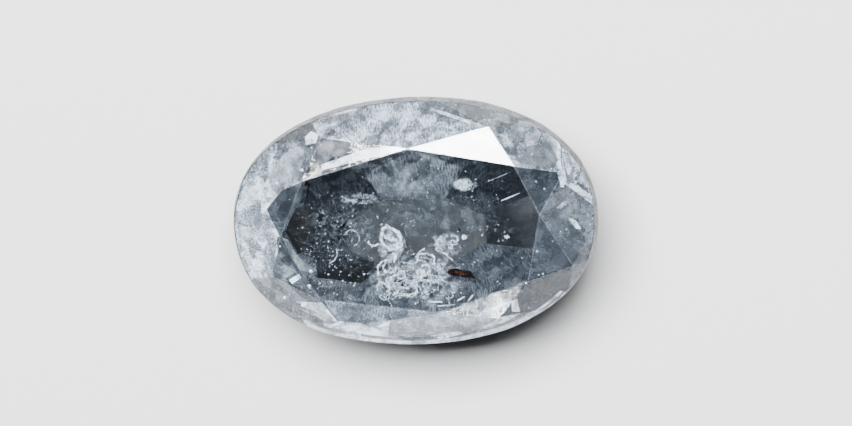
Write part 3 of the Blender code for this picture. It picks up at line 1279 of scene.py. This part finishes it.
# Painted light under the crown: bright rows and pits are painted reflections, dark rows are painted shade
# Tone, cover, and the corners as columns and rows of the photograph, read
CROWN_PAINTED_LIGHT = tuple(PaintedLightPatch(*row) for row in (
    # Star at the back left: a bright wedge along the table's edge, and a dark one behind it
    (1.00, 0.95, ((321, 165), (323, 170), (374, 157), (406, 149), (397, 146), (370, 148), (344, 157))),
    (0.10, 0.85, ((319, 140), (317, 154), (311, 168), (330, 160), (363, 147), (344, 143))),
    # Front left: dark slivers beside the table
    (0.03, 0.75, ((277, 237), (284, 237), (297, 262), (299, 272), (288, 262), (277, 247))),
    (0.03, 0.75, ((286, 281), (300, 289), (312, 300), (318, 303), (300, 297))),
    # Left end: a grey plate, bright chunks, a shaded wedge, pale patches, a glint and two grey bands
    (0.32, 0.75, ((285, 152), (306, 149), (297, 183), (272, 190), (268, 175))),
    (1.00, 0.95, ((262, 205), (268, 202), (270, 205), (263, 214), (260, 213))),
    (1.00, 0.90, ((267, 192), (274, 192), (272, 197), (265, 197))),
    (0.22, 0.75, ((260, 206), (258, 212), (252, 222), (258, 232), (262, 222), (262, 214))),
    (1.00, 0.70, ((249, 186), (262, 184), (261, 200), (250, 200))),
    (1.00, 0.70, ((240, 226), (252, 228), (250, 238), (240, 238))),
    (0.95, 0.65, ((251, 258), (262, 262), (261, 272), (252, 268))),
    (1.00, 0.90, ((289, 280), (299, 274), (301, 278), (292, 284))),
    (0.18, 0.80, ((271, 250), (283, 263), (297, 272), (284, 279), (270, 268))),
    (0.14, 0.75, ((283, 238), (288, 240), (300, 260), (318, 271), (301, 272), (290, 255))),
    # Back: a dark end, a grey wedge and a bright sliver
    (0.12, 0.80, ((443, 102), (457, 103), (458, 112), (450, 117), (443, 110))),
    (0.18, 0.80, ((459, 104), (513, 114), (500, 124), (478, 122), (457, 115))),
    (1.00, 0.85, ((430, 108), (445, 112), (478, 124), (470, 124), (440, 114))),
    # Back right: two plates and a bright wedge
    (0.32, 0.80, ((510, 126), (527, 119), (541, 133), (538, 141), (510, 141))),
    (0.15, 0.85, ((514, 156), (528, 146), (549, 142), (557, 160), (553, 168), (520, 164))),
    (1.00, 0.90, ((541, 125), (553, 135), (560, 146), (560, 160), (562, 172), (557, 168), (551, 150),
                  (546, 138))),
    # Right end: bright and dark wedges, a bright spot, a grey plate, two shades and a streak
    (0.16, 0.85, ((561, 141), (567, 152), (572, 165), (573, 180), (567, 186), (563, 165))),
    (1.00, 1.00, ((563, 145), (567, 147), (574, 155), (580, 163), (579, 170), (572, 166), (567, 154))),
    (0.10, 0.80, ((573, 180), (580, 171), (583, 170), (581, 175), (576, 181))),
    (1.00, 1.00, ((584, 169), (587, 174), (591, 185), (593, 191), (586, 186), (581, 180), (580, 173))),
    (0.08, 0.85, ((577, 181), (584, 186), (593, 193), (593, 196), (582, 189), (576, 184))),
    (1.00, 0.95, ((574, 188), (583, 190), (593, 197), (591, 199), (580, 195))),
    (1.00, 1.00, ((559, 178), (566, 178), (563, 188), (560, 187))),
    (1.00, 0.90, ((568, 218), (576, 221), (581, 229), (576, 229))),
    (0.16, 0.75, ((572, 192), (593, 200), (595, 225), (580, 220), (566, 214), (557, 205))),
    (0.06, 0.70, ((566, 220), (574, 229), (580, 236), (572, 235))),
    (0.05, 0.50, ((556, 246), (572, 243), (576, 256), (563, 270), (554, 262))),
    (0.80, 0.60, ((556, 208), (565, 200), (567, 203), (560, 209))),
    # Front right: two shades
    (0.06, 0.75, ((554, 290), (565, 279), (567, 284), (556, 294))),
    (0.04, 0.75, ((528, 284), (540, 276), (548, 284), (540, 294), (532, 292))),
    # Front: two shades, a grey plate and three bright patches
    (0.25, 0.60, ((405, 316), (426, 314), (424, 322), (408, 323))),
    (0.28, 0.70, ((386, 330), (430, 328), (440, 334), (390, 337))),
    (1.00, 0.90, ((430, 336), (458, 332), (464, 334), (440, 340))),
    (0.35, 0.70, ((300, 310), (318, 311), (336, 321), (322, 321))),
    (1.00, 0.90, ((340, 325), (362, 330), (361, 338), (346, 336))),
    (1.00, 0.95, ((362, 331), (390, 321), (388, 334), (378, 339), (364, 338))),
    # Back left: a glint and two shades
    (1.00, 1.00, ((305, 137), (311, 131), (319, 134), (316, 143), (306, 145))),
    (0.05, 0.70, ((283, 141), (292, 134), (305, 133), (303, 140))),
    (0.08, 0.50, ((320, 122), (332, 115), (350, 112), (345, 118), (330, 124))),
    # Front: painted highlights on two flats
    (0.90, 0.80, ((488, 309), (517, 299), (520, 312))),
    (0.80, 0.70, ((297, 302), (322, 303), (337, 322), (318, 318))),
)) + tuple(painted_glint(*spot) for spot in (
    (262, 257), (259, 265), (255, 275), (284, 298), (302, 306), (311, 271), (309, 286), (277, 183),
    (302, 170), (262, 205)))


def path_mesh(name: str, paths: Iterable[Iterable[Vector]], closed: bool = False) -> bpy.types.Mesh:
    """Make a mesh of bare edges that runs along some paths.

    Args:
        name: Name of the mesh.
        paths: Points of each path.
        closed: Whether each path ends where it starts.

    Returns:
        The mesh.
    """
    mesh = bmesh.new()
    for path in paths:
        corners = [mesh.verts.new(point) for point in path]
        for here, after in zip(corners, corners[1:]):
            mesh.edges.new((here, after))
        if closed:
            mesh.edges.new((corners[-1], corners[0]))
    return as_mesh(name, mesh)


def at(x: float, y: float, z: float) -> Vector:
    """Place in the stone, given in millimetres."""
    return Vector((x, y, z)) * MM


@dataclass
class Threads:
    """White threads and rings: edges of old cracks that healed over, set with crystal crumbs.

    Attributes:
        name: Name of the piece.
        paths: Points of each thread.
        finish: Colours of its crumbs.
        closed: Whether the threads are rings.
        thread: Half the thickness of a thread.
        spacing: Distance between crumbs along a thread.
        crumple: How far the thread wanders from its path.
        crumple_size: Distance between unlike bends.
        crumb: Half the size of the largest crumbs on it.
        seed: Which draw of bends and crumbs it has.
    """

    name: str
    paths: list[list[Vector]]
    finish: Crumb = CHALK
    closed: bool = False
    thread: float = 0.02 * MM
    spacing: float = 0.035 * MM
    crumple: float = 0.06 * MM
    crumple_size: float = 0.15 * MM
    crumb: float = 0.05 * MM
    seed: int = 1

    def build(self, tree: bpy.types.NodeTree) -> bpy.types.Object:
        """Build the threads.

        Args:
            tree: The tree that grows them.

        Returns:
            The threads as one mesh.
        """
        seed_mesh = path_mesh(self.name, self.paths, self.closed)
        return finish_piece(grown(self.name, seed_mesh, tree, {
            "Thread": self.thread, "Spacing": self.spacing, "Crumple": self.crumple,
            "Crumple size": self.crumple_size, "Crumb": self.crumb, "Seed": self.seed,
            "Material": self.finish.build()}))


@dataclass(frozen=True)
class Curls:
    """Curly paths that wander through an oval patch.

    Attributes:
        centre: Middle of the patch in millimetres.
        reach: Half its size along X, Y and Z in millimetres.
        count: Number of paths.
        turns: Steps of each path.
        step: Length of a step.
        seed: Seed of the random draws.
        fill: Share of the patch that the paths start in.
        first_bend: Most that a path bends at its first step, in radians.
        next_bend: Most that the bend changes from step to step, in radians.
        rise: Most that a step rises or falls, as a share of its length.
        pull: Share of the way back to the middle that each step adds.
    """

    centre: tuple[float, float, float]
    reach: tuple[float, float, float]
    count: int
    turns: int
    step: float
    seed: int
    fill: float = 0.8
    first_bend: float = 0.9
    next_bend: float = 0.45
    rise: float = 0.4
    pull: float = 0.03

    def paths(self) -> list[list[Vector]]:
        """Draw the paths.

        Returns:
            The points of each path.
        """
        draw = random.Random(self.seed)
        centre, reach = at(*self.centre), at(*self.reach)
        found = []
        for _ in range(self.count):
            start = Vector([draw.uniform(-self.fill, self.fill) for _ in range(3)])
            path = [centre + start * reach]
            heading = draw.uniform(0, math.tau)
            bend = draw.uniform(-self.first_bend, self.first_bend)
            for _ in range(self.turns):
                bend += draw.uniform(-self.next_bend, self.next_bend)
                heading += bend
                rise = draw.uniform(-self.rise, self.rise)
                move = Vector((math.cos(heading), math.sin(heading), rise)) * self.step
                path.append(path[-1] + move + (centre - path[-1]) * self.pull)
            found.append(path)
        return found


@dataclass
class Dust:
    """Pinpoint crystals strewn through part of the stone.

    Attributes:
        name: Name of the piece.
        centre: Middle of the patch.
        size: Half the size of the patch along X and Y, and how far crumbs stray up or down.
        count: About how many crumbs it has.
        crumb: Half the size of the largest crumbs.
        finish: Their colours.
        sides: Number of sides of the patch.
        seed: Which draw of places and sizes it has.
    """

    name: str
    centre: Vector
    size: Vector
    count: int
    crumb: float = 0.035 * MM
    finish: Crumb = FAINT_CHALK
    sides: int = 24
    seed: int = 1

    def build(self, tree: bpy.types.NodeTree) -> bpy.types.Object:
        """Build the crumbs.

        Args:
            tree: The tree that strews them.

        Returns:
            The crumbs as one mesh.
        """
        mesh = bmesh.new()
        bmesh.ops.create_circle(mesh, cap_ends=True, segments=self.sides, radius=1.0)
        placed(mesh, self.centre, (self.size.x, self.size.y, 1.0), 0.0)
        area = sum(face.calc_area() for face in mesh.faces)
        data = as_mesh(self.name, mesh)
        return finish_piece(grown(self.name, data, tree, {
            "Density": self.count / area, "Spread": (0.0, 0.0, self.size.z), "Crumb": self.crumb,
            "Seed": self.seed, "Material": self.finish.build()}))


@dataclass
class Fleck:
    """One solid speck with ragged edges, such as a flake of rust or a dark grain.

    Attributes:
        name: Name of the piece.
        centre: Its middle.
        size: Half its length, width and thickness.
        finish: Its colours.
        turn: Angle of its length from +X in degrees.
        ragged: How far its edge wanders, as a share of its size.
        waves: Number of swells that the edge is made of.
        wave_turns: Least and most that a swell turns over half the speck's size, in radians.
        seed: Which draw of the swells it has.
    """

    name: str
    centre: Vector
    size: Vector
    finish: Crumb
    turn: float = 0.0
    ragged: float = 0.35
    waves: int = 9
    wave_turns: tuple[float, float] = (2, 9)
    seed: int = 1

    def build(self) -> bpy.types.Object:
        """Build the speck.

        Returns:
            The speck as a closed mesh.
        """
        draw = random.Random(self.seed)
        mesh = bmesh.new()
        bmesh.ops.create_icosphere(mesh, subdivisions=4, radius=1.0)
        waves = [(Vector([draw.gauss(0, 1) for _ in range(3)]).normalized() * draw.uniform(*self.wave_turns),
                  draw.uniform(0, math.tau)) for _ in range(self.waves)]
        for vertex in mesh.verts:
            swell = sum(math.sin(wave.dot(vertex.co) + phase) / wave.length for wave, phase in waves)
            vertex.co *= 1.0 + self.ragged * swell
        placed(mesh, self.centre, tuple(self.size), self.turn)
        data = as_mesh(self.name, mesh)
        data.shade_smooth()
        data.materials.append(self.finish.build())
        return finish_piece(link_object(self.name, data))


@dataclass
class Inclusions:
    """Everything that shows inside the stone.

    Attributes:
        ring_level: Height of the chalky ring in millimetres.
        ringlet_level: Height of the small ringlet in millimetres.
        veils: Haze that follows the stone's flats, with painted light and shade in its tone.
        painted_patches: Painted reflections and painted shade just under the crown.
    """

    ring_level: float = 2.3
    ringlet_level: float = 2.5
    veils: tuple[Veil, ...] = (
        Veil("crown_veil_and_painted_light", CROWN_BUBBLES_AND_PAINTED_LIGHT, 1, CROWN_HAZE_AND_PAINTED_LIGHT, seed=3),
        Veil("pavilion_veil_and_painted_shade", PAVILION_BUBBLES_AND_PAINTED_SHADE, -1, PAVILION_HAZE_AND_PAINTED_SHADE, depth=0.15 * MM, seed=5))
    painted_patches: PaintedLightPlates = field(
        default_factory=lambda: PaintedLightPlates("painted_light_plates", CROWN_PAINTED_LIGHT, PAINTED_LIGHT_PLATE))

    def wisps(self) -> list[HazePatch]:
        """List the loose wisps of haze.

        Returns:
            The wisps.
        """
        return [
            HazePatch("back_bright_wisp", at(1.64, 1.02, 1.3), (0.42, 0.24), 0.80, 1.3, CLOUDY, seed=41),
            HazePatch("back_left_wisp", at(-1.85, 0.68, 1.0), (0.85, 0.20), 0.40, 0.8, STREAKY, turn=-3,
                      seed=42),
            HazePatch("back_wide_wisp", at(-0.1, 1.2, 1.3), (1.35, 0.65), 0.24, 0.7, SMOOTH, seed=43),
            HazePatch("crack_film", at(-0.1, -2.0, 1.55), (1.7, 1.0), 0.40, 0.45, CLOUDY, seed=44),
            HazePatch("ring_film", at(-0.85, -0.75, 2.25), (0.50, 0.60), 0.45, 1.1, CLOUDY, seed=45),
            HazePatch("sparkle_film", at(1.0, -0.85, 2.15), (0.70, 0.40), 0.30, 0.9, CLOUDY, seed=46),
            HazePatch("middle_film", at(0.3, 0.1, 0.9), (2.6, 1.2), 0.12, 0.55, SMOOTH, seed=48),
            HazePatch("left_film", at(-2.5, -0.4, 2.0), (1.5, 1.3), 0.08, 0.50, CLOUDY, seed=47),
        ]

    def thread_groups(self) -> list[Threads]:
        """List the rings, curls and arcs, each where the photograph shows it.

        Returns:
            The groups of threads.
        """
        ring = [at(x, y, self.ring_level) for x, y in (
            (-1.16, -0.42), (-0.97, -0.16), (-0.76, -0.24), (-0.56, -0.42), (-0.52, -0.68), (-0.66, -0.92),
            (-1.02, -0.84))]
        ring_tail = [at(x, y, self.ring_level) for x, y in ((-0.66, -0.92), (-0.72, -1.14), (-0.78, -1.32))]
        ringlet = [at(x, y, self.ringlet_level) for x, y in (
            (-2.32, -0.29), (-2.11, -0.17), (-1.89, -0.31), (-1.87, -0.55))] + [at(-2.05, -0.74, 2.4)]
        bow = [at(-2.66, -0.79, 2.4), at(-2.64, -0.99, 2.4), at(-2.75, -1.18, 2.3), at(-2.95, -1.27, 2.3)]
        blob = [at(-1.61, -0.66, 2.2), at(-1.45, -0.77, 2.2), at(-1.28, -0.71, 2.2)]
        crack_curls = Curls((-0.40, -1.85, 2.0), (0.95, 0.85, 0.30), 17, 7, 0.13 * MM, seed=11)
        crack_hairs = Curls((-0.20, -1.90, 2.0), (1.40, 0.95, 0.30), 30, 6, 0.09 * MM, seed=17)
        sparkle_curls = Curls((0.90, -0.88, 2.2), (0.55, 0.30, 0.15), 9, 7, 0.07 * MM, seed=13)
        return [
            Threads("chalky_ring", [ring], closed=True, thread=0.055 * MM, spacing=0.045 * MM,
                    crumple=0.11 * MM, crumple_size=0.10 * MM, crumb=0.13 * MM, seed=2),
            Threads("chalky_ring_tail", [ring_tail], thread=0.03 * MM, spacing=0.07 * MM, crumb=0.11 * MM,
                    seed=3),
            Threads("small_ringlet", [ringlet], FAINT_CHALK, thread=0.013 * MM, crumb=0.06 * MM, seed=4),
            Threads("chalky_blob", [blob], thread=0.03 * MM, spacing=0.06 * MM, crumb=0.13 * MM, seed=6),
            Threads("bent_streak", [bow], FAINT_CHALK, thread=0.025 * MM, crumb=0.04 * MM, seed=8),
            Threads("healed_crack_curls", crack_curls.paths(), thread=0.024 * MM, spacing=0.030 * MM,
                    crumple=0.08 * MM, crumple_size=0.08 * MM, crumb=0.075 * MM, seed=12),
            Threads("healed_crack_hairs", crack_hairs.paths(), FAINT_CHALK, thread=0.012 * MM,
                    crumple=0.08 * MM, crumple_size=0.08 * MM, crumb=0.045 * MM, seed=18),
            Threads("sparkle_curls", sparkle_curls.paths(), thread=0.016 * MM, crumple=0.07 * MM,
                    crumple_size=0.08 * MM, crumb=0.050 * MM, seed=14),
        ]

    def dust_groups(self) -> list[Dust]:
        """List the patches of pinpoint crystals.

        Returns:
            The patches.
        """
        return [
            Dust("middle_pinpoints", at(-0.2, -0.2, 2.4), at(3.4, 1.9, 0.8), 1300, 0.026 * MM, seed=21),
            Dust("left_pinpoints", at(-2.9, -0.2, 2.5), at(1.2, 1.3, 0.7), 260, 0.034 * MM, seed=22),
            Dust("crack_pinpoints", at(-0.3, -1.9, 2.0), at(1.3, 0.9, 0.3), 200, 0.035 * MM, CHALK, seed=23),
            Dust("front_left_pinpoints", at(-2.9, -1.6, 3.0), at(1.2, 0.7, 0.5), 60, 0.045 * MM, CHALK,
                 seed=24),
            Dust("right_pinpoints", at(2.6, -0.9, 2.4), at(1.3, 0.8, 0.6), 80, 0.03 * MM, seed=25),
        ]

    def flecks(self) -> list[Fleck]:
        """List the single specks and needles.

        Returns:
            The specks.
        """
        return [
            Fleck("rust_flake", at(1.30, -1.88, 1.7), at(0.30, 0.13, 0.05), RUST, turn=-7, ragged=0.6,
                  seed=31),
            Fleck("rust_core", at(1.36, -1.88, 1.78), at(0.15, 0.06, 0.03), RUST_CORE, turn=-12, ragged=0.6,
                  seed=42),
            Fleck("rust_tail", at(1.66, -2.00, 1.7), at(0.20, 0.036, 0.02), RUST, turn=-24, ragged=0.5,
                  seed=43),
            Fleck("rust_crumb", at(1.05, -1.82, 1.72), at(0.14, 0.06, 0.04), RUST, turn=20, seed=32),
            Fleck("black_grain", at(1.41, -0.32, 2.6), at(0.09, 0.06, 0.06), DARK_GRAIN, turn=10, seed=33),
            Fleck("bright_grain", at(1.58, -0.59, 2.4), at(0.08, 0.08, 0.06), CHALK, seed=34),
            Fleck("right_bright_grain", at(2.97, -0.68, 2.2), at(0.08, 0.05, 0.05), CHALK, ragged=0.7,
                  seed=35),
            Fleck("long_needle", at(3.23, 0.74, 3.0), at(0.34, 0.018, 0.018), CHALK, turn=19.4, ragged=0.1,
                  seed=36),
            Fleck("right_slanted_streak", at(1.66, -2.63, 2.3), at(0.15, 0.024, 0.02), CHALK, turn=48,
                  seed=38),
            Fleck("left_slanted_streak", at(1.31, -2.66, 2.3), at(0.15, 0.026, 0.02), CHALK, turn=27,
                  seed=39),
            Fleck("upper_level_streak", at(0.53, -2.72, 2.3), at(0.19, 0.022, 0.02), CHALK, turn=-4,
                  seed=40),
            Fleck("lower_level_streak", at(0.84, -2.85, 2.3), at(0.26, 0.020, 0.02), CHALK, turn=3, seed=41),
            Fleck("faint_needle", at(2.87, 1.43, 3.2), at(0.46, 0.007, 0.007), FAINT_CHALK, turn=20.5,
                  ragged=0.1, seed=37),
        ]

    def build(self, stone: Stone) -> list[bpy.types.Object]:
        """Build all of them.

        Args:
            stone: The stone that holds them.

        Returns:
            The pieces.
        """
        threads, dust, sheet = thread_tree(), dust_tree(), veil_tree()
        pieces = [veil.build(stone, sheet) for veil in self.veils]
        pieces += [wisp.build(sheet) for wisp in self.wisps()]
        pieces.append(self.painted_patches.build(stone, sheet))
        pieces += [group.build(threads) for group in self.thread_groups()]
        pieces += [group.build(dust) for group in self.dust_groups()]
        pieces += [fleck.build() for fleck in self.flecks()]
        return pieces


@dataclass
class Softbox:
    """A square studio lamp with a white cloth front.

    Attributes:
        name: Name of the lamp.
        bearing: Where it stands, counter-clockwise from +X in degrees.
        elevation: How high it stands, in degrees.
        width: Width of its front in metres.
        height: Height of its front in metres.
        power: Watts.
        mirrored: Whether the polished flats mirror it.
        lights: Whether it lights matt surfaces.
        colour: Colour of its light.
        distance: Distance from the stone.
    """

    name: str
    bearing: float
    elevation: float
    width: float
    height: float
    power: float
    mirrored: bool = True
    lights: bool = True
    colour: str = "#ffffff"
    distance: float = 0.25

    def build(self, aim: Vector) -> bpy.types.Object:
        """Place the lamp.

        Args:
            aim: Point that it faces.

        Returns:
            The lamp's object.
        """
        data = bpy.data.lights.new(self.name, "AREA")
        data.shape = "RECTANGLE"
        data.size = self.width
        data.size_y = self.height
        data.energy = self.power
        data.color = linear(self.colour)[:3]
        lamp = bpy.data.objects.new(self.name, data)
        lamp.visible_glossy = self.mirrored
        lamp.visible_diffuse = self.lights
        lamp.visible_transmission = False
        bpy.context.scene.collection.objects.link(lamp)
        away = facing(self.bearing, self.elevation)
        lamp.location = aim + away * self.distance
        lamp.rotation_euler = away.to_track_quat("Z", "Y").to_euler()
        return lamp


@dataclass
class Studio:
    """Pale table, soft lamps and the camera where the photograph was taken from.

    Attributes:
        view: Where the photograph was taken from.
        distance: Distance from the stone to the camera.
        sensor: Width of the camera's sensor in millimetres.
        clip: Nearest and farthest distance that the camera sees.
        floor_reach: Half the side of the floor.
        floor_drop: Distance from the stone down to the floor, so that the two don't share a plane.
        floor_colour: Colour of the floor.
        room_colour: Colour of the light in the room.
        room_strength: Strength of that light.
        depth_bounces: Times that light passes through or off flats before it is lost.
        glossy_bounces: Times that it is mirrored.
        lamps: Lamps that light the stone from outside.
        inner_lamps: Lamps that stand for the light inside the stone.
    """

    view: PhotoView = PhotoView()
    distance: float = 0.25
    sensor: float = 36.0
    clip: tuple[float, float] = (MM, 100.0)
    floor_reach: float = 1.5
    floor_drop: float = 0.01 * MM
    floor_colour: str = "#cccdcf"
    room_colour: str = "#eef2f7"
    room_strength: float = 0.06
    depth_bounces: int = 24
    glossy_bounces: int = 16
    lamps: list[Softbox] = field(default_factory=lambda: [
        Softbox("back_softbox", 95, 63, 0.18, 0.11, 4.0, mirrored=False),
        Softbox("back_card", 80, 61, 0.198, 0.09, 9.0, lights=False),
        Softbox("front_card", 281, 37, 0.03, 0.04, 0.5, lights=False),
    ])
    inner_lamps: list[Softbox] = field(default_factory=lambda: [
        Softbox("light_in_the_stone", 100, 62, 0.20, 0.20, 3.0, mirrored=False),
        Softbox("light_from_the_front", 265, 35, 0.20, 0.15, 1.6, mirrored=False),
    ])

    def floor(self) -> None:
        """Lay the pale table top."""
        mesh = bmesh.new()
        bmesh.ops.create_grid(mesh, x_segments=1, y_segments=1, size=self.floor_reach)
        bmesh.ops.translate(mesh, verts=mesh.verts[:], vec=(0, 0, -self.floor_drop))
        data = as_mesh("studio_floor", mesh)
        material, _, _ = new_material("matt_card", {
            "Base Color": linear(self.floor_colour), "Roughness": 0.95, "Specular IOR Level": 0.1})
        data.materials.append(material)
        link_object("studio_floor", data)

    def room(self) -> None:
        """Dim the room round the lamps."""
        world = bpy.data.worlds.new("dim_room")
        bpy.context.scene.world = world
        world.use_nodes = True
        back = world.node_tree.nodes["Background"]
        back.inputs["Color"].default_value = linear(self.room_colour)
        back.inputs["Strength"].default_value = self.room_strength

    def light(self, stone: bpy.types.Object, pieces: list[bpy.types.Object]) -> None:
        """Place the lamps.

        The inner lamps stand for the light that gets in through the flats and spreads inside the stone:
        they reach only the stone and what is in it, and the stone doesn't shade them.

        Args:
            stone: The stone.
            pieces: What is inside it.
        """
        aim = self.view.stone_middle()
        for lamp in self.lamps:
            lamp.build(aim)
        reached = bpy.data.collections.new("lit from inside")
        clear = bpy.data.collections.new("casts no inner shade")
        for piece in pieces + [stone]:
            reached.objects.link(piece)
        clear.objects.link(stone)
        for item in clear.collection_objects:
            item.light_linking.link_state = "EXCLUDE"
        for lamp in self.inner_lamps:
            placed = lamp.build(aim)
            placed.light_linking.receiver_collection = reached
            placed.light_linking.blocker_collection = clear

    def camera(self) -> None:
        """Set the camera as in the photograph."""
        across, up, toward = self.view.axes()
        columns, rows = self.view.frame
        data = bpy.data.cameras.new("camera")
        data.sensor_width = self.sensor
        data.lens = self.sensor * self.distance / (columns / self.view.pixels_per_mm * MM)
        data.clip_start, data.clip_end = self.clip
        eye = bpy.data.objects.new("camera", data)
        bpy.context.scene.collection.objects.link(eye)
        place = Matrix((across, up, toward)).transposed().to_4x4()
        place.translation = self.view.spot(columns / 2, rows / 2) + toward * self.distance
        eye.matrix_world = place
        bpy.context.scene.camera = eye

    def bounces(self) -> None:
        """Let light bounce often enough inside the stone, and leave stray focused light out."""
        cycles = bpy.context.scene.cycles
        cycles.max_bounces = self.depth_bounces
        cycles.glossy_bounces = self.glossy_bounces
        cycles.transmission_bounces = self.depth_bounces
        cycles.transparent_max_bounces = self.depth_bounces
        cycles.caustics_reflective = False
        cycles.caustics_refractive = False

    def build(self, stone: bpy.types.Object, pieces: list[bpy.types.Object]) -> None:
        """Build the studio round the stone.

        Args:
            stone: The stone.
            pieces: What is inside it.
        """
        self.floor()
        self.room()
        self.light(stone, pieces)
        self.camera()
        self.bounces()


def main() -> None:
    """Build the stone, what is in it and the studio, in that order."""
    logging.basicConfig(level=logging.INFO)
    stone = Stone()
    body = stone.build()
    pieces = Inclusions().build(stone)
    Studio().build(body, pieces)


if __name__ == "__main__":
    main()
